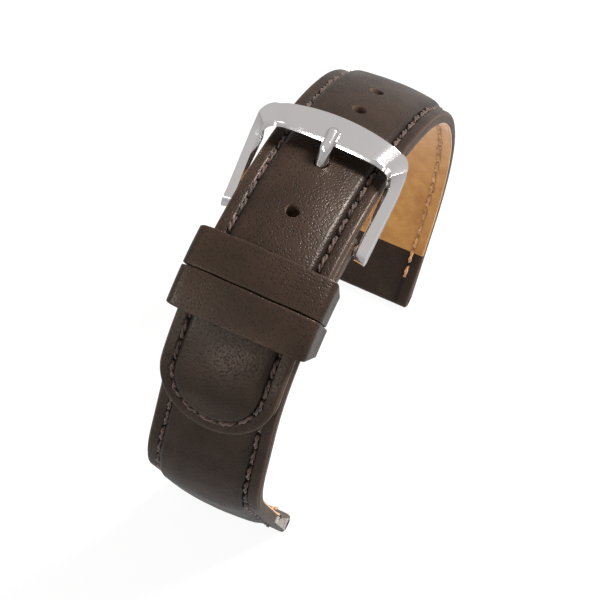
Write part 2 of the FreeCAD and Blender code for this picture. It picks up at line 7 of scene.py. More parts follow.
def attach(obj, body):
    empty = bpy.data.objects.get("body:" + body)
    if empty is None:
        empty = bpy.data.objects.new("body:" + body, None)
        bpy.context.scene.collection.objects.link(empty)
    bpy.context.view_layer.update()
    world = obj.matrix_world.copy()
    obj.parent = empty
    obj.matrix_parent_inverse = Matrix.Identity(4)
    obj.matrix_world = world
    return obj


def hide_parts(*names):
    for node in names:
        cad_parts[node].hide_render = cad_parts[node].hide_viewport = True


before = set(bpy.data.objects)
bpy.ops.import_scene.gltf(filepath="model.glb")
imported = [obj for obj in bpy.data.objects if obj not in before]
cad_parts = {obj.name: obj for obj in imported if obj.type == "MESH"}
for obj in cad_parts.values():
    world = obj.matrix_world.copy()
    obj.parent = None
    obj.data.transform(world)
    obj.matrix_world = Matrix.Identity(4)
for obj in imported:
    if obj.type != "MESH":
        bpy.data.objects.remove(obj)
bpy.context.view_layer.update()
bpy.ops.object.select_all(action="DESELECT")

# Camera
# The photographer stood in front, a little to the right and well above, with the picture turned so
# that the strap runs up to the right.
MM = 0.001
LENS = 99.17
SENSOR = 36.0
NEAREST = 0.01
AIM = Vector((-0.42, -3.22, 31.51)) * MM
DISTANCE = 235.9 * MM
AZIMUTH = math.radians(16.70)
ELEVATION = math.radians(52.31)
ROLL = math.radians(10.25)


def way_to(azimuth, elevation):
    """The direction from the strap to what stands at an azimuth, seen from the front, and an elevation."""
    level = math.cos(elevation)
    return Vector((math.sin(azimuth) * level, -math.cos(azimuth) * level, math.sin(elevation)))


back = way_to(AZIMUTH, ELEVATION)
bpy.ops.object.camera_add(location=AIM + back * DISTANCE)
camera = bpy.context.object
camera.rotation_euler = (back.to_track_quat("Z", "Y") @ Quaternion((0, 0, 1), ROLL)).to_euler()
camera.data.lens = LENS
camera.data.sensor_width = SENSOR
camera.data.clip_start = NEAREST
bpy.context.scene.camera = camera
bpy.context.scene.view_settings.view_transform = "Standard"

# Studio
# A white floor and a surround that is white to the camera alone, with a dark horizon in reflections,
# and three soft lamps: a strong one behind to the right, and weak ones in front and to the left.
FLOOR_HALF = 3.0
FLOOR_GREY = (0.92, 0.92, 0.92)
FLOOR_SEEN_WHITE = 0.92
FLOOR_REFLECTED = 0.5
SKY_STRENGTH = 0.75
HORIZON = (0.07, 0.066, 0.062, 1)
ZENITH = (0.62, 0.60, 0.59, 1)
HORIZON_HEIGHT = 0.10
ZENITH_HEIGHT = 0.72


def plain_colour(name, colour, rough):
    """A material with its shader, its nodes and its links."""
    material = bpy.data.materials.new(name)
    material.use_nodes = True
    nodes = material.node_tree.nodes
    shader = nodes["Principled BSDF"]
    shader.inputs["Base Color"].default_value = (*colour, 1)
    shader.inputs["Roughness"].default_value = rough
    return material, nodes, material.node_tree.links, shader


def white_to_camera(nodes, links, lit, output, share, reflected):
    """Show a share of white to the camera, and a dimmer white to reflections, over the lit surface."""
    ray = nodes.new("ShaderNodeLightPath")
    seen = nodes.new("ShaderNodeMath")
    seen.operation = "MAXIMUM"
    links.new(ray.outputs["Is Camera Ray"], seen.inputs[0])
    white = nodes.new("ShaderNodeEmission")
    if reflected:
        links.new(ray.outputs["Is Glossy Ray"], seen.inputs[1])
        dimmed = nodes.new("ShaderNodeMath")
        dimmed.operation = "MULTIPLY_ADD"
        dimmed.inputs[1].default_value = reflected - 1
        dimmed.inputs[2].default_value = 1
        links.new(ray.outputs["Is Glossy Ray"], dimmed.inputs[0])
        links.new(dimmed.outputs["Value"], white.inputs["Strength"])
    amount = nodes.new("ShaderNodeMath")
    amount.operation = "MULTIPLY"
    amount.inputs[1].default_value = share
    links.new(seen.outputs["Value"], amount.inputs[0])
    choice = nodes.new("ShaderNodeMixShader")
    links.new(amount.outputs["Value"], choice.inputs["Fac"])
    links.new(lit, choice.inputs[1])
    links.new(white.outputs["Emission"], choice.inputs[2])
    links.new(choice.outputs["Shader"], output.inputs["Surface"])


floor_paint, nodes, links, shader = plain_colour("floor_white", FLOOR_GREY, 0.9)
white_to_camera(
    nodes, links, shader.outputs["BSDF"], nodes["Material Output"], FLOOR_SEEN_WHITE, FLOOR_REFLECTED)
bpy.ops.mesh.primitive_plane_add(size=2 * FLOOR_HALF, location=(0, 0, 0))
floor = bpy.context.object
floor.name = "floor"
floor.data.materials.append(floor_paint)

world = bpy.data.worlds.new("surround")
bpy.context.scene.world = world
world.use_nodes = True
nodes = world.node_tree.nodes
links = world.node_tree.links
lit = nodes["Background"]
lit.inputs["Strength"].default_value = SKY_STRENGTH
way = nodes.new("ShaderNodeTexCoord")
split = nodes.new("ShaderNodeSeparateXYZ")
links.new(way.outputs["Generated"], split.inputs["Vector"])
sky = nodes.new("ShaderNodeValToRGB")
low, high = sky.color_ramp.elements
low.position = HORIZON_HEIGHT
low.color = HORIZON
high.position = ZENITH_HEIGHT
high.color = ZENITH
links.new(split.outputs["Z"], sky.inputs["Fac"])
links.new(sky.outputs["Color"], lit.inputs["Color"])
white_to_camera(nodes, links, lit.outputs["Background"], nodes["World Output"], share=1.0, reflected=0.0)


def lamp(name, azimuth, elevation, distance, size, power):
    """A square soft lamp that looks at the strap."""
    way = way_to(math.radians(azimuth), math.radians(elevation))
    bpy.ops.object.light_add(type="AREA", location=AIM + way * distance)
    light = bpy.context.object
    light.name = name
    light.rotation_euler = way.to_track_quat("Z", "Y").to_euler()
    light.data.size = size
    light.data.energy = power


lamp("lamp_behind_right", azimuth=133, elevation=52, distance=0.6, size=0.17, power=9.5)
lamp("lamp_front_left", azimuth=-50, elevation=24, distance=0.7, size=0.22, power=1.8)
lamp("lamp_front", azimuth=-11, elevation=21, distance=0.8, size=0.16, power=1.2)

# Outer leather of both halves
# One piece of calf for each half, crowned over its felt and pulled down along the stitching. It is cut
# flat, with the long half's tip rounded, then turned over the lug tunnel and round the buckle's bar.
# The outline and the layers, in millimetres
LUG_WIDTH = 18.0
BUCKLE_WIDTH = 16.0
TAPER_START = 28.6
LEATHER = 0.55
EDGE = 1.8
CROWN = 1.3
PRESSED_CROWN = 0.75
STACK = EDGE + CROWN
# The worn loop: each half is a chain of arcs in the Y-Z plane, measured along its border's outer face
TIP = (-35.66, 42.23)
TIP_HEADING = 76.652
TIP_RADIUS = BUCKLE_WIDTH / 2
# An arc is a radius and an angle, and a straight stretch is None and a length.
LONG_ARCS = [(None, 1.6), (23.5, 61.0), (45.0, 38.0), (40.0, 47.0), (33.0, 36.5), (None, 16.7)]
BAR_FROM_TIP = 32.9
SHORT_ARCS = [(45.0 - STACK, 7.991), (23.5 - STACK, 61.0), (None, 9.3), (14.6, 40.0), (None, 27.5)]
SHORT_COVERED = 29.9
LUG_END_R = 1.4
FLAP = 11.0
FLAP_RAMP = 3.0
BAR_WRAP_R = 1.45
BAR_FLAP = 6.0
# How the crown rises and falls along each half
CROWN_END = 5.0
END_CROWN = 0.25
CROWN_FALL = 9.0
TIP_CROWN = 0.55
TIP_FLAT = 2.2
BAR_CROWN = 0.3
BAR_FLAT = 4.5
CROWN_RISE = 4.5
# The mesh, whose rows are an even share of a stitch
ROW = 0.3625
FINE_COLUMN = 0.15
FINE_COLUMNS = 20
WIDE_COLUMNS = 10
TIP_ROWS = 26
WELD = 0.001
EDGE_SCALE = 4.0
PER_MM = 1000.0
# The stitching line and how it pulls the leather down
STITCH_PITCH = 8 * ROW
STITCH_INSET = 1.85
TIP_STITCHES = 7
STITCH_END = 3.5
GROOVE = 0.26
NEEDLE_DIP = 0.24
SEWN_RAMP = 1.0
GROOVE_HALF = 0.20
NEEDLE_HALF = 0.24
NEEDLE_SHARP = 14
STITCH_WANDER = 0.07
# The face from its eased edge over the border to the crown
EDGE_ROUND = 0.40
BORDER_SWELL = 0.07
BORDER_WAVE = 0.04
CROWN_GAP = 0.12
CROWN_RAMP = 1.5
FOOT_WIDTH = 1.0
FOOT_CURVE = 2.4
FOOT_SHARE = 0.56
CROWN_WAVE = 0.05


def smooth(t):
    """A ramp from 0 to 1 with level ends."""
    t = min(1.0, max(0.0, t))
    return t * t * (3 - 2 * t)


class Half:
    """One half of the strap: it says where a point of the flat blank lies in the loop."""

    def __init__(self, start, heading, arcs, outside, round_tip):
        self.outside = outside
        self.round_tip = round_tip
        self.knots = [(0.0, start[0], start[1], math.radians(heading))]
        self.bends = []
        for radius, amount in arcs:
            length = amount if radius is None else radius * math.radians(amount)
            self.bends.append(0.0 if radius is None else -outside / radius)
            self.knots.append(self.step(self.knots[-1], length, self.bends[-1]))
        self.length = self.knots[-1][0]
        self.bore = self.length - LUG_END_R

    def step(self, knot, length, bend):
        """The knot that lies a length further on."""
        s, y, z, a = knot
        b = a + bend * length
        if bend == 0.0:
            return s + length, y + length * math.cos(a), z + length * math.sin(a), a
        return s + length, y + (math.sin(b) - math.sin(a)) / bend, z - (math.cos(b) - math.cos(a)) / bend, b

    def along(self, s):
        """The place, direction and outward normal at a distance."""
        i = 0
        while i < len(self.bends) - 1 and s > self.knots[i + 1][0]:
            i += 1
        _, y, z, a = self.step(self.knots[i], s - self.knots[i][0], self.bends[i])
        forward = Vector((0, math.cos(a), math.sin(a)))
        normal = Vector((0, -self.outside * math.sin(a), self.outside * math.cos(a)))
        return Vector((0, y, z)), forward, normal

    def half_width(self, s):
        """Half the strap's width, which tapers from the lugs to the buckle."""
        share = max(0.0, s - TAPER_START) / (self.length - TAPER_START)
        return (BUCKLE_WIDTH + (LUG_WIDTH - BUCKLE_WIDTH) * min(1.0, share)) / 2

    def thickness(self, s):
        """The edge's thickness, which grows over the turned flaps."""
        lug = smooth((s - (self.length - FLAP - FLAP_RAMP)) / (FLAP + FLAP_RAMP - 2 * LUG_END_R))
        grown = (2 * LUG_END_R - EDGE) * lug
        if not self.round_tip:
            bar = smooth((BAR_FLAP + FLAP_RAMP - s) / (BAR_FLAP + FLAP_RAMP - BAR_WRAP_R))
            grown += (2 * BAR_WRAP_R - EDGE) * bar
        return EDGE + grown

    def crown(self, s):
        """The padding's height over the border."""
        fall = END_CROWN + (1 - END_CROWN) * smooth((self.length - CROWN_END - s) / CROWN_FALL)
        if self.round_tip:
            return CROWN * min(TIP_CROWN + (1 - TIP_CROWN) * smooth((s - TIP_FLAT) / CROWN_RISE), fall)
        rise = BAR_CROWN + (1 - BAR_CROWN) * smooth((s - BAR_FLAT) / CROWN_RISE)
        press = PRESSED_CROWN + (CROWN - PRESSED_CROWN) * smooth((s - SHORT_COVERED) / CROWN_RISE)
        return press * min(rise, fall)

    def inset(self, x, s):
        """How far a point of the blank lies inside its outline."""
        if self.round_tip and s < TIP_RADIUS:
            return TIP_RADIUS - math.hypot(x, s - TIP_RADIUS)
        return self.half_width(s) - abs(x)

    def turned(self, x, past, h, start, way, radius):
        """A point of the leather that is turned round a bar or a lug tunnel and comes back inside."""
        place, forward, normal = self.along(start)
        angle = past / radius
        if angle < math.pi:
            centre = place - normal * radius
            ray = normal * math.cos(angle) + forward * (way * math.sin(angle))
            return centre + ray * (radius + h) + Vector((x, 0, 0))
        back = start - way * (past - math.pi * radius)
        place, forward, normal = self.along(back)
        return place - normal * (self.thickness(back) + h) + Vector((x, 0, 0))

    def point(self, x, s, h):
        """A point of the flat blank, h above the border's face, in the loop."""
        if s > self.bore:
            return self.turned(x, s - self.bore, h, self.bore, 1, LUG_END_R)
        if s < 0 and not self.round_tip:
            return self.turned(x, -s, h, 0.0, -1, BAR_WRAP_R)
        place, forward, normal = self.along(s)
        return place + normal * h + Vector((x, 0, 0))


LONG = Half(TIP, TIP_HEADING, LONG_ARCS, 1, True)
bar_place, bar_direction, bar_normal = LONG.along(BAR_FROM_TIP)
SHORT_START = bar_place - bar_normal * STACK
SHORT_HEADING = math.degrees(math.atan2(-bar_direction.z, -bar_direction.y))
SHORT = Half((SHORT_START.y, SHORT_START.z), SHORT_HEADING, SHORT_ARCS, -1, False)


def only(piece):
    """Make a piece the only one that an operator acts on."""
    bpy.ops.object.select_all(action="DESELECT")
    piece.select_set(True)
    bpy.context.view_layer.objects.active = piece


def finish_modifier(piece, kind, **settings):
    """Add a modifier with its settings and apply it."""
    only(piece)
    bpy.ops.object.modifier_add(type=kind)
    modifier = piece.modifiers[-1]
    for key, value in settings.items():
        setattr(modifier, key, value)
    bpy.ops.object.modifier_apply(modifier=modifier.name)


def node(nodes, kind, **settings):
    """A shader node with its settings; a key that names an input sets the input's value."""
    made = nodes.new(kind)
    for key, value in settings.items():
        if key in made.inputs:
            made.inputs[key].default_value = value
        else:
            setattr(made, key, value)
    return made


def ramp(nodes, links, source, stops):
    """A colour ramp fed by a socket, with (position, grey or colour) stops."""
    made = nodes.new("ShaderNodeValToRGB")
    elements = made.color_ramp.elements
    while len(elements) < len(stops):
        elements.new(0.5)
    for element, (position, colour) in zip(elements, stops):
        element.position = position
        element.color = (colour, colour, colour, 1) if isinstance(colour, float) else (*colour, 1)
    links.new(source, made.inputs["Fac"])
    return made


def mixed(nodes, links, kind, factor, a, b):
    """A colour mix of two sockets or colours."""
    made = nodes.new("ShaderNodeMix")
    made.data_type = "RGBA"
    made.blend_type = kind
    for value, socket in ((factor, made.inputs["Factor"]), (a, made.inputs["A"]), (b, made.inputs["B"])):
        if isinstance(value, bpy.types.NodeSocket):
            links.new(value, socket)
        elif isinstance(value, float):
            socket.default_value = value
        else:
            socket.default_value = (*value, 1)
    return made.outputs["Result"]


def grain_leather(name, dark, light, rough, pore_pitch):
    """Calf dyed dark chocolate, pressed smooth and waxed: fine round pores, a pebbled grain between
    them, softer colour in patches, a paler line along the cut edge and painted shade in the stitched
    groove and at the crown's foot, which are read from the piece's own distance from its edge."""
    material, nodes, links, shader = plain_colour(name, dark, rough)
    shader.inputs["Specular IOR Level"].default_value = 0.24
    shader.inputs["Specular Tint"].default_value = (1.0, 0.86, 0.76, 1)
    place = node(nodes, "ShaderNodeTexCoord")
    in_mm = node(nodes, "ShaderNodeMapping")
    in_mm.inputs["Scale"].default_value = (PER_MM, PER_MM, PER_MM)
    links.new(place.outputs["Object"], in_mm.inputs["Vector"])
    wander = node(nodes, "ShaderNodeTexNoise", Scale=0.9, Detail=2.0)
    links.new(in_mm.outputs["Vector"], wander.inputs["Vector"])
    bent = mixed(nodes, links, "ADD", 0.35, in_mm.outputs["Vector"], wander.outputs["Color"])
    pores = node(nodes, "ShaderNodeTexVoronoi", Scale=1 / pore_pitch, Randomness=0.85)
    links.new(bent, pores.inputs["Vector"])
    pit = ramp(nodes, links, pores.outputs["Distance"], [(0.16, 0.0), (0.42, 1.0)])
    pebbles = node(
        nodes, "ShaderNodeTexVoronoi", Scale=1.2 / pore_pitch, feature="SMOOTH_F1", Randomness=1.0)
    links.new(bent, pebbles.inputs["Vector"])
    patches = node(nodes, "ShaderNodeTexNoise", Scale=0.16, Detail=4.0, Roughness=0.6)
    links.new(in_mm.outputs["Vector"], patches.inputs["Vector"])
    fine = node(nodes, "ShaderNodeTexNoise", Scale=7.0, Detail=3.0)
    links.new(in_mm.outputs["Vector"], fine.inputs["Vector"])
    tone = ramp(nodes, links, patches.outputs["Fac"], [(0.35, dark), (0.72, light)])
    pitted = mixed(nodes, links, "MULTIPLY", 0.8, tone.outputs["Color"], pit.outputs["Color"])
    edge = node(nodes, "ShaderNodeAttribute", attribute_name="from_edge")
    worn = ramp(nodes, links, edge.outputs["Fac"], [(0.0, 1.0), (0.10, 0.15), (0.2, 0.0)])
    wear = mixed(nodes, links, "MULTIPLY", 1.0, worn.outputs["Color"], fine.outputs["Color"])
    # Painted shade: the colour is darkened in the stitched groove and at the foot of the crown, where shade
    # falls.
    groove_shade_stops = [(0.40, 1.0), (0.455, 0.22), (0.53, 0.35), (0.66, 0.8), (0.85, 1.0)]
    painted_groove_shade = ramp(nodes, links, edge.outputs["Fac"], groove_shade_stops)
    with_painted_shade = mixed(nodes, links, "MULTIPLY", 1.0, pitted, painted_groove_shade.outputs["Color"])
    coloured = mixed(nodes, links, "MIX", wear, with_painted_shade, tuple(min(1.0, c * 3.2) for c in light))
    links.new(coloured, shader.inputs["Base Color"])
    gloss = ramp(nodes, links, patches.outputs["Fac"], [(0.3, rough + 0.06), (0.7, rough - 0.05)])
    links.new(gloss.outputs["Color"], shader.inputs["Roughness"])
    grain = node(nodes, "ShaderNodeBump", Strength=0.5, Distance=0.00006)
    links.new(pebbles.outputs["Distance"], grain.inputs["Height"])
    hair = node(nodes, "ShaderNodeBump", Strength=0.5, Distance=0.00005)
    links.new(pit.outputs["Color"], hair.inputs["Height"])
    links.new(grain.outputs["Normal"], hair.inputs["Normal"])
    skin = node(nodes, "ShaderNodeBump", Strength=0.25, Distance=0.00003)
    links.new(fine.outputs["Fac"], skin.inputs["Height"])
    links.new(hair.outputs["Normal"], skin.inputs["Normal"])
    links.new(skin.outputs["Normal"], shader.inputs["Normal"])
    return material


calf = grain_leather(
    "dark_calf", (0.0120, 0.0062, 0.0038), (0.0235, 0.0132, 0.0084), rough=0.38, pore_pitch=0.36)


def raw_fibre(name, dark, light, rough, scale):
    """Cut leather, felt or suede: short loose fibres with a mottled colour."""
    material, nodes, links, shader = plain_colour(name, dark, rough)
    shader.inputs["Specular IOR Level"].default_value = 0.22
    place = node(nodes, "ShaderNodeTexCoord")
    in_mm = node(nodes, "ShaderNodeMapping")
    in_mm.inputs["Scale"].default_value = (PER_MM, PER_MM, PER_MM)
    links.new(place.outputs["Object"], in_mm.inputs["Vector"])
    mottle = node(nodes, "ShaderNodeTexNoise", Scale=0.35 * scale, Detail=6.0, Roughness=0.65)
    fibre = node(nodes, "ShaderNodeTexNoise", Scale=6.0 * scale, Detail=4.0, Roughness=0.7, Distortion=1.2)
    links.new(in_mm.outputs["Vector"], mottle.inputs["Vector"])
    links.new(in_mm.outputs["Vector"], fibre.inputs["Vector"])
    tone = ramp(nodes, links, mottle.outputs["Fac"], [(0.32, dark), (0.66, light)])
    hairs = ramp(nodes, links, fibre.outputs["Fac"], [(0.3, 0.72), (0.65, 1.0)])
    coloured = mixed(nodes, links, "MULTIPLY", 1.0, tone.outputs["Color"], hairs.outputs["Color"])
    links.new(coloured, shader.inputs["Base Color"])
    nap = node(nodes, "ShaderNodeBump", Strength=0.6, Distance=0.00005)
    links.new(fibre.outputs["Fac"], nap.inputs["Height"])
    links.new(nap.outputs["Normal"], shader.inputs["Normal"])
    return material, shader


raw_edge, shader = raw_fibre(
    "punched_fibre", (0.02, 0.011, 0.007), (0.10, 0.062, 0.042), rough=0.85, scale=1.5)


def blank(name, half, start, end, row):
    """Half a flat outline with fine columns along its edge, mirrored to a whole one."""
    columns = FINE_COLUMNS + WIDE_COLUMNS
    tip_rows = TIP_ROWS if half.round_tip else 0
    first = TIP_RADIUS if half.round_tip else start
    rows = tip_rows + math.ceil((end - first) / row)
    bpy.ops.mesh.primitive_grid_add(x_subdivisions=columns, y_subdivisions=rows, size=1)
    piece = bpy.context.object
    piece.name = name
    for v in piece.data.vertices:
        i = round((v.co.x + 0.5) * columns)
        j = round((v.co.y + 0.5) * rows)
        edge_band = FINE_COLUMN * FINE_COLUMNS
        s = first + (end - first) * (j - tip_rows) / (rows - tip_rows)
        width = half.half_width(s if j > tip_rows else TIP_RADIUS)
        if i <= FINE_COLUMNS:
            across = width - FINE_COLUMN * i
        else:
            across = (width - edge_band) * (columns - i) / WIDE_COLUMNS
        if j >= tip_rows:
            v.co = (across, s, 0)
        else:
            a = math.pi / 2 * (1 - j / tip_rows)
            v.co = (across * math.cos(a), TIP_RADIUS - across * math.sin(a), 0)
    bpy.ops.object.mode_set(mode="EDIT")
    bpy.ops.mesh.select_all(action="SELECT")
    bpy.ops.mesh.remove_doubles(threshold=WELD)
    bpy.ops.object.mode_set(mode="OBJECT")
    finish_modifier(piece, "MIRROR", use_mirror_merge=True, merge_threshold=WELD)
    return piece


def deepen(piece, far):
    """Close a sheet to a solid whose other side lies at a height that far gives."""
    only(piece)
    bpy.ops.object.mode_set(mode="EDIT")
    bpy.ops.mesh.select_all(action="SELECT")
    bpy.ops.mesh.extrude_region_move(TRANSFORM_OT_translate={"value": (0, 0, -WELD)})
    bpy.ops.object.mode_set(mode="OBJECT")
    for v in piece.data.vertices:
        if v.select:
            v.co.z = far(v.co.x, v.co.y)


def stitch_phase(half, x, s):
    """How many stitches lie before a point; it is whole at each needle hole."""
    if half.round_tip and s < TIP_RADIUS:
        quarter = math.atan2(abs(x), TIP_RADIUS - s) / (math.pi / 2)
        return TIP_STITCHES / 2 * (quarter - 1)
    start = TIP_RADIUS if half.round_tip else BAR_FLAP
    return (s - start) / STITCH_PITCH


def unevenness(x, s, across, along, layer):
    """Smooth noise over the blank, between -1 and 1, with its own grain and its own layer."""
    return noise.noise(Vector((x * across, s * along, layer)))


def needle_pull(half, x, s):
    """1 at a needle hole, and nothing between two of them."""
    return abs(math.cos(math.pi * stitch_phase(half, x, s))) ** NEEDLE_SHARP


def face_height(half, x, s):
    """The outer face over the border's plane: edge, border, stitched groove and crown."""
    e = half.inset(x, s)
    wide = half.half_width(max(s, TIP_RADIUS))
    h = -BORDER_WAVE * abs(unevenness(x, s, across=0.5, along=0.3, layer=2.0))
    if e < EDGE_ROUND:
        h -= EDGE_ROUND - math.sqrt(max(0.0, EDGE_ROUND ** 2 - (EDGE_ROUND - e) ** 2))
    if s > half.bore or s < 0:
        return h
    sewn = smooth((half.length - STITCH_END - s) / SEWN_RAMP)
    if not half.round_tip:
        sewn *= smooth((s - BAR_FLAP) / SEWN_RAMP)
    pull = needle_pull(half, x, s)
    off = e - STITCH_INSET - STITCH_WANDER * unevenness(x, s, across=0.1, along=0.45, layer=5.0)
    h -= sewn * GROOVE * math.exp(-(off / GROOVE_HALF) ** 2)
    h -= sewn * NEEDLE_DIP * pull * math.exp(-(off / NEEDLE_HALF) ** 2)
    h += sewn * BORDER_SWELL * math.sin(math.pi * min(1.0, e / STITCH_INSET)) * (1 - pull / 2)
    crown = half.crown(s) * smooth((half.length - CROWN_END - s) / CROWN_RAMP)
    if not half.round_tip:
        crown *= smooth((s - BAR_FLAT) / CROWN_RAMP)
    inner = e - STITCH_INSET - CROWN_GAP
    if inner > 0:
        t = min(1.0, inner / (wide - STITCH_INSET - CROWN_GAP))
        foot = 1 - (1 - min(1.0, inner / FOOT_WIDTH)) ** FOOT_CURVE
        h += crown * (FOOT_SHARE * foot + (1 - FOOT_SHARE) * (1 - (1 - t) ** 2))
        h += CROWN_WAVE * crown * unevenness(x, s, across=0.22, along=0.16, layer=0.0)
    return h


def outer_leather(name, half, start, end):
    """Cut, crown and close one half's calf, with its distance from the edge kept for the worn edge
    and for the painted shade along the groove.
    """
    piece = blank(name, half, start, end, ROW)
    for v in piece.data.vertices:
        v.co.z = face_height(half, v.co.x, v.co.y)
    deepen(piece, lambda x, s: -LEATHER)
    from_edge = piece.data.attributes.new("from_edge", "FLOAT", "POINT")
    for v in piece.data.vertices:
        from_edge.data[v.index].value = half.inset(v.co.x, v.co.y) / EDGE_SCALE
    piece.data.materials.append(calf)
    piece.data.materials.append(raw_edge)
    return piece


turned_in = math.pi * LUG_END_R + FLAP - LUG_END_R
long_outer = outer_leather("long_outer", LONG, 0.0, LONG.bore + turned_in)
short_outer = outer_leather("short_outer", SHORT, -math.pi * BAR_WRAP_R - BAR_FLAP, SHORT.bore + turned_in)

# Core and painted edges
# Between the calf and the lining lies a strip of bonded board. Its cut edge is sanded, painted grey
# brown and stands a hair proud of the layers that it covers.
CORE_TOP = -0.42
CORE_BOTTOM = 0.42
PAINT_PROUD = 0.05
PAINT_BAND = 0.3
GLUE = 0.01
CORE_ROW = 0.8
BARE_EDGE = 13.0


def core_strip(name, half, start, end):
    """The board, with its paint bulging along the outline."""
    piece = blank(name, half, start, end, CORE_ROW)
    for v in piece.data.vertices:
        e = half.inset(v.co.x, v.co.y)
        v.co.z = -LEATHER - GLUE if e > PAINT_BAND else CORE_TOP - (LEATHER + CORE_TOP) * e / PAINT_BAND
    deepen(piece, lambda x, s: -half.thickness(s) + CORE_BOTTOM)
    for v in piece.data.vertices:
        if half.inset(v.co.x, v.co.y) < GLUE and abs(v.co.x) > 1:
            v.co.x += math.copysign(PAINT_PROUD, v.co.x)
    return piece


edge_paint, shader = raw_fibre(
    "edge_paint", (0.030, 0.019, 0.013), (0.062, 0.042, 0.032), rough=0.55, scale=1.0)
cut_board, shader = raw_fibre(
    "cut_board", (0.13, 0.115, 0.10), (0.27, 0.245, 0.225), rough=0.8, scale=1.4)
long_core = core_strip("long_core", LONG, 0.0, LONG.bore)
short_core = core_strip("short_core", SHORT, 0.0, SHORT.bore)
for core in (long_core, short_core):
    core.data.materials.append(edge_paint)
    core.data.materials.append(raw_edge)
    core.data.materials.append(cut_board)
for p in short_core.data.polygons:
    if p.center.y > SHORT.length - BARE_EDGE:
        p.material_index = 2

# Lining
# The side that touches the wrist is tan nubuck, skived where the turned calf covers its ends, with
# the bobbin thread pulled into it along both edges.
LINING = 0.75
LINING_SKIVED = 0.25
LINING_ROUND = 0.25
LINING_GROOVE = 0.12
LINING_GROOVE_HALF = 0.25
LINING_WAVE = 0.03


def lining_skin(name, half, start, end):
    """The nubuck, modelled from its wrist side."""
    piece = blank(name, half, start, end, ROW)
    for v in piece.data.vertices:
        x, s = v.co.x, v.co.y
        e = half.inset(x, s)
        groove = LINING_GROOVE * (1 + needle_pull(half, x, s))
        h = -half.thickness(s) + groove * math.exp(-((e - STITCH_INSET) / LINING_GROOVE_HALF) ** 2)
        if e < LINING_ROUND:
            h += LINING_ROUND - math.sqrt(max(0.0, LINING_ROUND ** 2 - (LINING_ROUND - e) ** 2))
        v.co.z = h + LINING_WAVE * unevenness(x, s, across=0.4, along=0.4, layer=9.0)
    deepen(piece, lambda x, s: -half.thickness(s) + LINING - LINING_SKIVED)
    return piece


nubuck, shader = raw_fibre("tan_nubuck", (0.26, 0.108, 0.022), (0.37, 0.185, 0.048), rough=0.82, scale=0.8)
shader.inputs["Sheen Weight"].default_value = 0.25
long_lining = lining_skin("long_nubuck", LONG, 0.0, LONG.length - FLAP)
short_lining = lining_skin("short_nubuck", SHORT, BAR_FLAP, SHORT.length - FLAP)
for skin in (long_lining, short_lining):
    skin.data.materials.append(nubuck)
    skin.data.materials.append(raw_edge)
    skin.data.materials.append(edge_paint)
    for p in skin.data.polygons:
        if abs(p.normal.z) < 0.5 and abs(p.center.x) > BUCKLE_WIDTH / 2 - EDGE_ROUND:
            p.material_index = 2

# Holes, tunnels and the slot for the tongue
# Seven holes are punched on the middle line; the one in use is drawn open by the tongue, which leans
# through it. The short half has a slot where the tongue's eye turns on the bar.
FIRST_HOLE = 17.2
HOLE_PITCH = 7.0
HOLE_COUNT = 7
HOLE_R = 0.95
TONGUE_HOLE = 3
TONGUE_HOLE_LOW = (38.64, -1.8)
TONGUE_HOLE_HIGH = (39.50, 1.3)
TONGUE_HOLE_R = 1.02
ROCK_ROOM = 0.8
SLOT_HALF = 1.3
SLOT_LENGTH = 4.2
SLOT_HEIGHT = -1.0
PUNCH_LENGTH = 4.0
MOUTH_DEPTH = 0.12
MOUTH_RISE = 0.2
MOUTH_FLARE = 1.12
THROUGH = 9.0
ROUND = 32
LUG_BORE_R = 0.85
BAR_WRAP_BORE = 0.9
BORE_LENGTH = 30.0
SMOOTH_ANGLE = math.radians(50)


def punch(pieces, cutter):
    """Take a cutter out of several flat pieces, with raw fibre on the cut, and throw it away."""
    only(cutter)
    bpy.ops.object.transform_apply(location=True, rotation=True, scale=True)
    cutter.data.materials.append(calf)
    cutter.data.materials.append(raw_edge)
    for p in cutter.data.polygons:
        p.material_index = 1
    for piece in pieces:
        finish_modifier(piece, "BOOLEAN", object=cutter, operation="DIFFERENCE", solver="EXACT")
    only(cutter)
    bpy.ops.object.delete()


def hole_punch(s):
    """A round punch with a flared mouth, standing on the crown's middle line."""
    top = face_height(LONG, 0, s)
    middle = (0, s, top - MOUTH_DEPTH - PUNCH_LENGTH / 2)
    bpy.ops.mesh.primitive_cylinder_add(vertices=ROUND, radius=HOLE_R, depth=PUNCH_LENGTH, location=middle)
    cutter = bpy.context.object
    bpy.ops.object.mode_set(mode="EDIT")
    bpy.ops.mesh.select_all(action="DESELECT")
    bpy.ops.object.mode_set(mode="OBJECT")
    for p in cutter.data.polygons:
        p.select = p.normal.z > 0.5
    bpy.ops.object.mode_set(mode="EDIT")
    bpy.ops.mesh.select_mode(type="FACE")
    bpy.ops.mesh.extrude_region_move(TRANSFORM_OT_translate={"value": (0, 0, MOUTH_RISE)})
    bpy.ops.transform.resize(value=(MOUTH_FLARE, MOUTH_FLARE, 1), center_override=(0, s, 0))
    bpy.ops.object.mode_set(mode="OBJECT")
    return cutter


def fold(piece, half):
    """Lay a flat piece on its half of the loop, in metres, with its faces outwards."""
    for v in piece.data.vertices:
        v.co = half.point(*v.co) * MM
    bpy.ops.object.mode_set(mode="EDIT")
    bpy.ops.mesh.select_all(action="SELECT")
    bpy.ops.mesh.normals_make_consistent(inside=False)
    bpy.ops.object.mode_set(mode="OBJECT")
    bpy.ops.object.shade_smooth_by_angle(angle=SMOOTH_ANGLE)


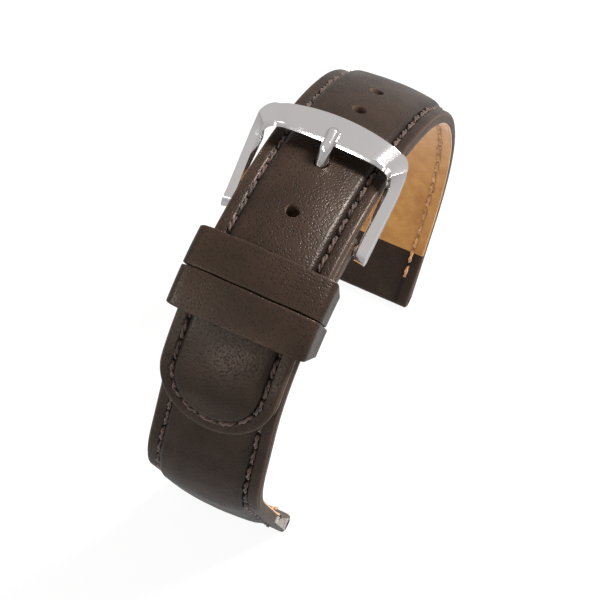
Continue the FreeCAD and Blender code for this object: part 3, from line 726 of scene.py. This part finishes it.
long_layers = [long_outer, long_core, long_lining]
for k in range(HOLE_COUNT):
    if k != TONGUE_HOLE:
        punch(long_layers, hole_punch(FIRST_HOLE + HOLE_PITCH * k))
low = Vector((0, *TONGUE_HOLE_LOW))
high = Vector((0, *TONGUE_HOLE_HIGH))
middle = (low + high) / 2
for layers, radius in (
    ([long_outer, long_core], TONGUE_HOLE_R),
    ([long_lining], TONGUE_HOLE_R + ROCK_ROOM),
):
    bpy.ops.mesh.primitive_cylinder_add(vertices=ROUND, radius=radius, depth=THROUGH, location=middle)
    cutter = bpy.context.object
    cutter.rotation_euler = (high - low).to_track_quat("Z", "Y").to_euler()
    punch(layers, cutter)

slot_reach = math.pi * BAR_WRAP_R + SLOT_LENGTH
bpy.ops.mesh.primitive_cube_add(size=1, location=(0, (SLOT_LENGTH - slot_reach) / 2, SLOT_HEIGHT))
cutter = bpy.context.object
cutter.scale = (2 * SLOT_HALF, SLOT_LENGTH + slot_reach, THROUGH)
punch([short_outer, short_core], cutter)

for core, centre, radius in (
    (long_core, (0, LONG.bore, -LUG_END_R), LUG_BORE_R),
    (short_core, (0, SHORT.bore, -LUG_END_R), LUG_BORE_R),
    (short_core, (0, 0, -BAR_WRAP_R), BAR_WRAP_BORE),
):
    bpy.ops.mesh.primitive_cylinder_add(vertices=ROUND, radius=radius, depth=BORE_LENGTH, location=centre)
    cutter = bpy.context.object
    cutter.rotation_euler = (0, math.pi / 2, 0)
    punch([core], cutter)

for piece, half, slot, replaced in (
    (long_outer, LONG, "brown_leather", ["long_upper", "long_padding"]),
    (long_core, LONG, "board", ["long_board"]),
    (long_lining, LONG, "tan_lining", ["long_lining"]),
    (short_outer, SHORT, "brown_leather", ["short_upper", "short_padding"]),
    (short_core, SHORT, "board", ["short_board"]),
    (short_lining, SHORT, "tan_lining", ["short_lining"]),
):
    only(piece)
    fold(piece, half)
    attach(piece, "strap")
    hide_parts(*replaced)

# Stitching
# Lockstitch in twisted waxed thread: dark brown on the face and tan under the lining. Each stitch
# dives into its needle holes, and no two lie quite alike.
random.seed(7)
PLY_R = 0.17
PLY_SIDES = 5
PLY_STEPS = 8
PLY_APART = 0.75
PLY_TURNS = 1.1
STITCH_SHARE = 0.90
STITCH_ARCH = 0.46
STITCH_SUNK = 0.36
LIFT = (0.85, 1.2)
SWAY = 0.09
SLANT = 0.10


def thread_colour(name, dark, light, rough):
    """Waxed thread: a mottled colour, with fine fibres."""
    material, shader = raw_fibre(name, dark, light, rough, scale=2.5)
    shader.inputs["Sheen Weight"].default_value = 0.2
    return material


dark_thread = thread_colour("dark_thread", (0.012, 0.006, 0.004), (0.085, 0.040, 0.024), 0.45)
tan_thread = thread_colour("tan_thread", (0.20, 0.085, 0.03), (0.50, 0.26, 0.11), 0.55)


def model_stitch():
    """Two plies twisted round each other along Z, from 0 to 1, closed at their ends."""
    for x in (-PLY_R * PLY_APART, PLY_R * PLY_APART):
        bpy.ops.mesh.primitive_circle_add(
            vertices=PLY_SIDES, radius=PLY_R, location=(x, 0, 0), fill_type="NOTHING")
        bpy.ops.object.transform_apply(location=True, rotation=True, scale=True)
        if x < 0:
            first = bpy.context.object
    first.select_set(True)
    bpy.context.view_layer.objects.active = first
    bpy.ops.object.join()
    finish_modifier(first, "SCREW", axis="Z", angle=math.tau * PLY_TURNS, screw_offset=1.0,
                    steps=PLY_STEPS, render_steps=PLY_STEPS)
    bpy.ops.object.mode_set(mode="EDIT")
    bpy.ops.mesh.select_all(action="SELECT")
    bpy.ops.mesh.fill_holes(sides=0)
    bpy.ops.mesh.select_all(action="SELECT")
    bpy.ops.mesh.normals_make_consistent(inside=False)
    bpy.ops.object.mode_set(mode="OBJECT")
    bpy.ops.object.shade_smooth()
    return first


stitch = model_stitch()


def lay_stitch(lay, first):
    """A copy of the stitch between two needle holes; lay(phase) gives its place, side and upward way."""
    only(stitch)
    bpy.ops.object.duplicate()
    copy = bpy.context.object
    twist = random.uniform(0, math.tau)
    lift = random.uniform(*LIFT)
    sway = random.uniform(-SWAY, SWAY)
    slant = random.uniform(-SLANT, SLANT)
    for v in copy.data.vertices:
        place, across, up = lay(first + 0.5 + STITCH_SHARE * (v.co.z - 0.5))
        arch = math.sqrt(math.sin(math.pi * min(1.0, max(0.0, v.co.z))))
        x = v.co.x * math.cos(twist) - v.co.y * math.sin(twist)
        y = v.co.x * math.sin(twist) + v.co.y * math.cos(twist)
        x += sway * arch + slant * (v.co.z - 0.5)
        y += STITCH_ARCH * lift * arch - STITCH_SUNK
        v.co = (place + across * x + up * y) * MM
    return copy


def stitch_layer(half, outer):
    """Where the stitching line runs on one side of a half, as a list of (phases, lay) runs."""
    side = Vector((1, 0, 0))

    def surface(x, s):
        """A point on the layer's face, with the strap's direction and the way out of the leather."""
        _, forward, normal = half.along(s)
        if outer:
            return half.point(x, s, 0), forward, normal
        return half.point(x, s, -half.thickness(s)), forward, -normal

    def edge(sign):
        start = TIP_RADIUS if half.round_tip else BAR_FLAP

        def lay(phase):
            s = start + phase * STITCH_PITCH
            x = sign * (half.half_width(s) - STITCH_INSET)
            place, forward, up = surface(x, s)
            return place, side, up

        count = int((half.length - STITCH_END - start) / STITCH_PITCH)
        return list(range(count)), lay

    def tip(phase):
        radius = TIP_RADIUS - STITCH_INSET
        a = math.pi * (phase / TIP_STITCHES - 0.5)
        x = radius * math.sin(a)
        s = TIP_RADIUS - radius * math.cos(a)
        place, forward, up = surface(x, s)
        return place, side * math.sin(a) - forward * math.cos(a), up

    runs = [edge(1), edge(-1)]
    if half.round_tip:
        runs.append((list(range(TIP_STITCHES)), tip))
    return runs


def sew(name, half, outer, replaced, material):
    """Sew all the runs of one side and join them to one piece."""
    sewn = [lay_stitch(lay, first) for phases, lay in stitch_layer(half, outer) for first in phases]
    only(sewn[0])
    for copy in sewn:
        copy.select_set(True)
    bpy.ops.object.join()
    piece = bpy.context.object
    piece.name = name
    piece.data.materials.append(material)
    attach(piece, "strap")
    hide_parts(replaced)


sew("long_face_thread", LONG, True, "long_stitching", dark_thread)
sew("long_lining_thread", LONG, False, "long_lining_stitching", tan_thread)
sew("short_face_thread", SHORT, True, "short_stitching", dark_thread)
sew("short_lining_thread", SHORT, False, "short_lining_stitching", tan_thread)
only(stitch)
bpy.ops.object.delete()

# Keepers
# Two bands of the same calf over a thin lining. The upper one is sewn into the short half, and the
# lower one is a closed band that slides along the strap.
KEEPER_WIDTH = 4.9
KEEPER_LEATHER = 0.75
KEEPER_LINING = 0.45
KEEPER_SIDE_GAP = 0.25
KEEPER_TOP_GAP = 0.15
KEEPER_BOW = 0.7
KEEPERS_APART = 0.15
FREE_KEEPER_AT = 14.8
FIXED_KEEPER_AT = FREE_KEEPER_AT + KEEPER_WIDTH + KEEPERS_APART
KEEPER_FOLD_R = 0.3
KEEPER_UNDER_GAP = 0.63
KEEPER_TUCKED = 0.3
KEEPER_GLUE = 0.02
SKIN_SHORTER = 0.5
KEEPER_EASE = 0.14
KEEPER_EASE_ANGLE = math.radians(60)
KEEPER_WAVE = 0.12
BARE_RIM = 0.35
BAND_ROWS = 14
BAND_ACROSS = 30
BAND_DOWN = 10
BAND_FOLD = 5


def band_outline(half_x, low, side, top, fold_r):
    """The points of a keeper's inside, round the strap: bowed over the top, folded at the corners."""
    wide = 2 * (half_x - fold_r)
    tall = side - low - 2 * fold_r
    points = []
    # Each run is named by the signs of the corner that it starts from, and by its way along one side.
    runs = ((1, 1, -wide, 0), (-1, 1, 0, -tall), (-1, -1, wide, 0), (1, -1, 0, tall))
    for k, (sign_x, sign_h, run_x, run_h) in enumerate(runs):
        edge_h = side if sign_h > 0 else low
        for i in range(BAND_FOLD):
            a = math.pi / 2 * (k + i / (BAND_FOLD - 1))
            x = sign_x * (half_x - fold_r) + fold_r * math.cos(a)
            h = edge_h - sign_h * fold_r + fold_r * math.sin(a)
            points.append((x, h))
        count = BAND_ACROSS if run_h == 0 else BAND_DOWN
        for i in range(1, count):
            points.append((x + run_x * i / count, h + run_h * i / count))
    bowed = []
    for x, h in points:
        share = max(0.0, 1 - (x / half_x) ** 2) if h > side - fold_r else 0.0
        bowed.append((x, h + (top - side) * share))
    return bowed


def keeper_band(name, start, gap, skin, low, material, body, replaced):
    """A band round the strap: a closed outline drawn along the strap, thickened and eased."""
    half_x = BUCKLE_WIDTH / 2 + KEEPER_SIDE_GAP + gap
    top = CROWN + KEEPER_TOP_GAP + gap
    outline = band_outline(half_x, low, top - KEEPER_BOW, top, KEEPER_FOLD_R + gap / 2)
    bpy.ops.mesh.primitive_circle_add(vertices=len(outline), radius=1, fill_type="NOTHING")
    piece = bpy.context.object
    piece.name = name
    for v, (x, h) in zip(piece.data.vertices, outline):
        v.co = (x, start, h)
    bpy.ops.object.mode_set(mode="EDIT")
    bpy.ops.mesh.select_mode(type="VERT")
    bpy.ops.mesh.select_all(action="SELECT")
    for row in range(BAND_ROWS):
        step = (0, KEEPER_WIDTH / BAND_ROWS, 0)
        bpy.ops.mesh.extrude_region_move(TRANSFORM_OT_translate={"value": step})
    bpy.ops.mesh.select_all(action="SELECT")
    bpy.ops.mesh.normals_make_consistent(inside=False)
    bpy.ops.object.mode_set(mode="OBJECT")
    bpy.ops.object.transform_apply(location=True, rotation=True, scale=True)
    finish_modifier(piece, "SOLIDIFY", thickness=skin, offset=1.0, use_even_offset=True)
    from_edge = piece.data.attributes.new("from_edge", "FLOAT", "POINT")
    for v in piece.data.vertices:
        e = min(v.co.y - start, start + KEEPER_WIDTH - v.co.y)
        from_edge.data[v.index].value = min(BARE_RIM + e, 1.0) / EDGE_SCALE
        wave = unevenness(v.co.x, start, across=0.25, along=1.0, layer=3.0)
        v.co.y += KEEPER_WAVE * wave * (1 if v.co.y > start + KEEPER_WIDTH / 2 else -1)
    finish_modifier(
        piece, "BEVEL", width=KEEPER_EASE, segments=3, limit_method="ANGLE", angle_limit=KEEPER_EASE_ANGLE)
    fold(piece, LONG)
    piece.data.materials.append(material)
    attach(piece, body)
    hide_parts(replaced)


keeper_inside, shader = raw_fibre(
    "keeper_lining", (0.10, 0.055, 0.03), (0.17, 0.10, 0.06), rough=0.8, scale=1.0)
under = -STACK - EDGE - KEEPER_UNDER_GAP
tuck = -STACK - LEATHER - KEEPER_TUCKED
keeper_band("free_keeper_band", FREE_KEEPER_AT, KEEPER_LINING, KEEPER_LEATHER, under - KEEPER_LINING, calf,
            "free_keeper_band", "free_keeper")
keeper_band("free_keeper_skin", FREE_KEEPER_AT, 0.0, KEEPER_LINING - KEEPER_GLUE, under, keeper_inside,
            "free_keeper_band", "free_keeper_lining")
keeper_band("fixed_keeper_band", FIXED_KEEPER_AT, KEEPER_LINING, KEEPER_LEATHER, tuck, calf,
            "strap", "fixed_keeper")
keeper_band("fixed_keeper_skin", FIXED_KEEPER_AT, 0.0, KEEPER_LINING - KEEPER_GLUE, tuck + SKIN_SHORTER,
            keeper_inside, "strap", "fixed_keeper_lining")

# Buckle frame
# Stamped from steel plate, its front bar bowed and broad, the two legs thinned to round ends on the
# spring bar, with a facet round the window, and polished all over.
LEG_INNER = 8.5
LEG_WIDTH = 1.9
LEG_END_R = 1.5
LEG_END_SHARE = 0.8
LEG_END_LEAST = 0.25
FRONT_INNER = 8.7
FRONT_CORNER = 11.7
FRONT_OUTER = 13.2
FRONT_TOP = 7.2
FRONT_ARCH = 0.9
FRONT_THICK = 1.5
WINDOW_R = 1.2
CORNER_BACK = 9.4
CORNER_ACROSS = 1.9
CORNER_LONG = 2.75
CORNER_RISE = 0.1
# At the leg's end, at the leg's front and at the front bar:
PLATE_DEPTHS = (2.9, 2.1, 1.6)
WINDOW_FACETS = (0.25, 0.7, 0.5)
OUTER_FACET = 0.28
FACET_DROP = 0.9
FACET_LIMIT = 0.4
EASE = 0.12
EASE_ANGLE = math.radians(28)
SMOOTH_STEEL = math.radians(32)
NOTCH_R = 1.0
NOTCH_BACK = 0.9
NOTCH_RAISED = 0.5
NOTCH_REACH = 6.0
END_STEPS = 5
LEG_STEPS = 7
CORNER_STEPS = 8
FRONT_STEPS = 8
RING = 6
STEEL_ROUND = 48
HAIRLINES = (400, 9000, 9000)
BAR = bar_place - bar_normal * (STACK + BAR_WRAP_R)
FORWARD = bar_direction
OUTWARD = bar_normal


def in_bar_axes(x, u, v):
    """A point across, forward and outward of the bar's middle, in metres."""
    return (BAR + Vector((x, 0, 0)) + FORWARD * u + OUTWARD * v) * MM


def polished(name, colour, rough):
    """Polished steel with faint hairlines and a soft unevenness in its gloss."""
    material, nodes, links, shader = plain_colour(name, colour, rough)
    shader.inputs["Metallic"].default_value = 1.0
    place = node(nodes, "ShaderNodeTexCoord")
    stretch = node(nodes, "ShaderNodeMapping")
    stretch.inputs["Scale"].default_value = HAIRLINES
    links.new(place.outputs["Object"], stretch.inputs["Vector"])
    lines = node(nodes, "ShaderNodeTexNoise", Scale=1.0, Detail=3.0)
    links.new(stretch.outputs["Vector"], lines.inputs["Vector"])
    gloss = ramp(nodes, links, lines.outputs["Fac"], [(0.3, rough), (0.75, rough + 0.07)])
    links.new(gloss.outputs["Color"], shader.inputs["Roughness"])
    wave = node(nodes, "ShaderNodeBump", Strength=0.05, Distance=0.00002)
    links.new(lines.outputs["Fac"], wave.inputs["Height"])
    links.new(wave.outputs["Normal"], shader.inputs["Normal"])
    return material


steel = polished("polished_steel", (0.66, 0.635, 0.63), rough=0.09)
turned_steel = polished("turned_steel", (0.6, 0.59, 0.58), rough=0.28)


def between(pair, share):
    """The value at a share of the way from the first of a pair to the second."""
    return pair[0] + (pair[1] - pair[0]) * share


# Each station holds the inner edge (x, u), the outer edge (x, u), the top, the depth and the facet.
half_out = LEG_INNER + LEG_WIDTH
corner_top = FRONT_TOP - FRONT_ARCH
corner_outer = CORNER_BACK + CORNER_LONG
leg_slope = (corner_top - CORNER_RISE - LEG_END_R) / (FRONT_CORNER - 1.0)
stations = []
for i in range(END_STEPS + 1):
    a = math.pi - math.pi / 2 * i / END_STEPS
    u = LEG_END_R * math.cos(a)
    tall = max(LEG_END_LEAST, LEG_END_R * math.sin(a))
    outer = (LEG_INNER + LEG_WIDTH * LEG_END_SHARE, u)
    stations.append(((LEG_INNER, u), outer, tall, 2 * tall, WINDOW_FACETS[0]))
for i in range(1, LEG_STEPS + 1):
    share = i / LEG_STEPS
    u = (FRONT_INNER - WINDOW_R) * share
    outer = (LEG_INNER + LEG_WIDTH * between((LEG_END_SHARE, 1.0), share), u)
    depth = between(PLATE_DEPTHS[:2], share)
    facet = between(WINDOW_FACETS[:2], share)
    stations.append(((LEG_INNER, u), outer, LEG_END_R + leg_slope * u, depth, facet))
for i in range(1, CORNER_STEPS + 1):
    share = i / CORNER_STEPS
    a = math.pi / 2 * share
    inner = (LEG_INNER - WINDOW_R * (1 - math.cos(a)), FRONT_INNER - WINDOW_R * (1 - math.sin(a)))
    outer = (half_out - CORNER_ACROSS * (1 - math.cos(a)), CORNER_BACK + CORNER_LONG * math.sin(a))
    top = corner_top + CORNER_RISE * (share - 0.5)
    depth = between(PLATE_DEPTHS[1:], share)
    facet = between(WINDOW_FACETS[1:], share)
    stations.append((inner, outer, top, depth, facet))
for i in range(1, FRONT_STEPS + 1):
    share = 1 - i / FRONT_STEPS
    x_out = (half_out - CORNER_ACROSS) * share
    inner = ((LEG_INNER - WINDOW_R) * share, FRONT_INNER)
    outer = (x_out, FRONT_OUTER - (FRONT_OUTER - corner_outer) * share ** 2)
    top = FRONT_TOP - FRONT_ARCH * (x_out / half_out) ** 2
    stations.append((inner, outer, top, FRONT_THICK, WINDOW_FACETS[2]))

bpy.ops.mesh.primitive_circle_add(vertices=RING, radius=1, fill_type="NGON")
buckle = bpy.context.object
buckle.name = "buckle_plate"
bpy.ops.object.mode_set(mode="EDIT")
bpy.ops.mesh.select_mode(type="FACE")
bpy.ops.mesh.select_all(action="SELECT")
for station in stations[1:]:
    bpy.ops.mesh.extrude_region_move(TRANSFORM_OT_translate={"value": (0, 0, 1)})
bpy.ops.mesh.delete(type="ONLY_FACE")
bpy.ops.object.mode_set(mode="OBJECT")
for v in buckle.data.vertices:
    (xi, ui), (xo, uo), top, depth, facet = stations[round(v.co.z)]
    across = Vector((xo - xi, uo - ui)).normalized()
    corner = round(math.atan2(v.co.y, v.co.x) / math.tau * RING) % RING
    v.co = (
        (xi, ui, top - depth),
        (xi, ui, top - min(facet * FACET_DROP, depth * FACET_LIMIT)),
        (xi + across.x * facet, ui + across.y * facet, top),
        (xo - across.x * OUTER_FACET, uo - across.y * OUTER_FACET, top),
        (xo, uo, top - OUTER_FACET),
        (xo, uo, top - depth),
    )[corner]
finish_modifier(buckle, "MIRROR", use_mirror_merge=True, merge_threshold=WELD)
only(buckle)
bpy.ops.object.mode_set(mode="EDIT")
bpy.ops.mesh.select_all(action="SELECT")
bpy.ops.mesh.normals_make_consistent(inside=False)
bpy.ops.object.mode_set(mode="OBJECT")
finish_modifier(buckle, "BEVEL", width=EASE, segments=3, limit_method="ANGLE", angle_limit=EASE_ANGLE)
notch = (0, FRONT_INNER - NOTCH_BACK, FRONT_TOP + NOTCH_RAISED)
bpy.ops.mesh.primitive_cylinder_add(vertices=STEEL_ROUND, radius=NOTCH_R, depth=NOTCH_REACH, location=notch)
cutter = bpy.context.object
cutter.rotation_euler = (math.pi / 2, 0, 0)
bpy.ops.object.transform_apply(location=True, rotation=True, scale=True)
finish_modifier(buckle, "BOOLEAN", object=cutter, operation="DIFFERENCE", solver="EXACT")
only(cutter)
bpy.ops.object.delete()
for v in buckle.data.vertices:
    v.co = in_bar_axes(*v.co)
only(buckle)
bpy.ops.object.shade_smooth_by_angle(angle=SMOOTH_STEEL)
buckle.data.materials.append(steel)
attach(buckle, "frame")
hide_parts("buckle_frame")

# Tongue
# A round steel rod, its eye closed round the spring bar, cranked up through the strap and bent
# forward to lie in the notch of the front bar, with a rounded nose.
TONGUE_R = 0.85
TONGUE_ROUTE = [(0.9, 0.25), (4.9, 1.2), (7.5, 7.7), (9.8, 7.7)]
TONGUE_BEND = 1.5
BEND_STEPS = 8
NOSE_STEPS = 6
NOSE_LEAST = 0.02
EYE_R = 1.13
EYE_WIRE = 0.32
EYE_WIDER = 2.8

bpy.ops.curve.primitive_bezier_curve_add()
tongue = bpy.context.object
tongue.name = "tongue_rod"
route = [Vector(p) for p in TONGUE_ROUTE]
path = [(route[0], 1.0)]
for a, b, c in zip(route, route[1:], route[2:]):
    to_a = (a - b).normalized()
    to_c = (c - b).normalized()
    half_turn = (math.pi - to_a.angle(to_c)) / 2
    reach = TONGUE_BEND * math.tan(half_turn)
    centre = b + (to_a + to_c).normalized() * (TONGUE_BEND / math.cos(half_turn))
    first = b + to_a * reach - centre
    last = b + to_c * reach - centre
    for i in range(BEND_STEPS + 1):
        path.append((centre + first.slerp(last, i / BEND_STEPS), 1.0))
end = route[-1]
heading = (route[-1] - route[-2]).normalized()
path.append((end, 1.0))
for i in range(1, NOSE_STEPS + 1):
    a = math.pi / 2 * i / NOSE_STEPS
    path.append((end + heading * TONGUE_R * math.sin(a), max(NOSE_LEAST, math.cos(a))))
tongue.data.splines.clear()
spline = tongue.data.splines.new("POLY")
spline.points.add(len(path) - 1)
for point, (place, radius) in zip(spline.points, path):
    point.co = (0, place.x, place.y, 1)
    point.radius = radius
tongue.data.dimensions = "3D"
tongue.data.bevel_depth = TONGUE_R
tongue.data.bevel_resolution = 8
tongue.data.use_fill_caps = True
only(tongue)
bpy.ops.object.convert(target="MESH")
tongue = bpy.context.object
bpy.ops.mesh.primitive_torus_add(
    major_segments=STEEL_ROUND, minor_segments=16, major_radius=EYE_R, minor_radius=EYE_WIRE,
    location=(0, 0, 0), rotation=(0, math.pi / 2, 0))
eye = bpy.context.object
bpy.ops.object.transform_apply(location=True, rotation=True, scale=True)
for v in eye.data.vertices:
    v.co.x *= EYE_WIDER
tongue.select_set(True)
bpy.context.view_layer.objects.active = tongue
bpy.ops.object.join()
for v in tongue.data.vertices:
    v.co = in_bar_axes(*v.co)
bpy.ops.object.shade_smooth()
tongue.data.materials.clear()
tongue.data.materials.append(steel)
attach(tongue, "tongue")
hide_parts("buckle_tongue")

# Spring bar
# A tube with a sprung plunger at each end and a coil between them, all turned from steel and left
# dull. The solids have their full shape, so they only get their finish here.
for name in ("bar_tube", "bar_plunger_left", "bar_plunger_right", "bar_spring"):
    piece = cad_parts[name]
    piece.data.materials.clear()
    piece.data.materials.append(turned_steel)
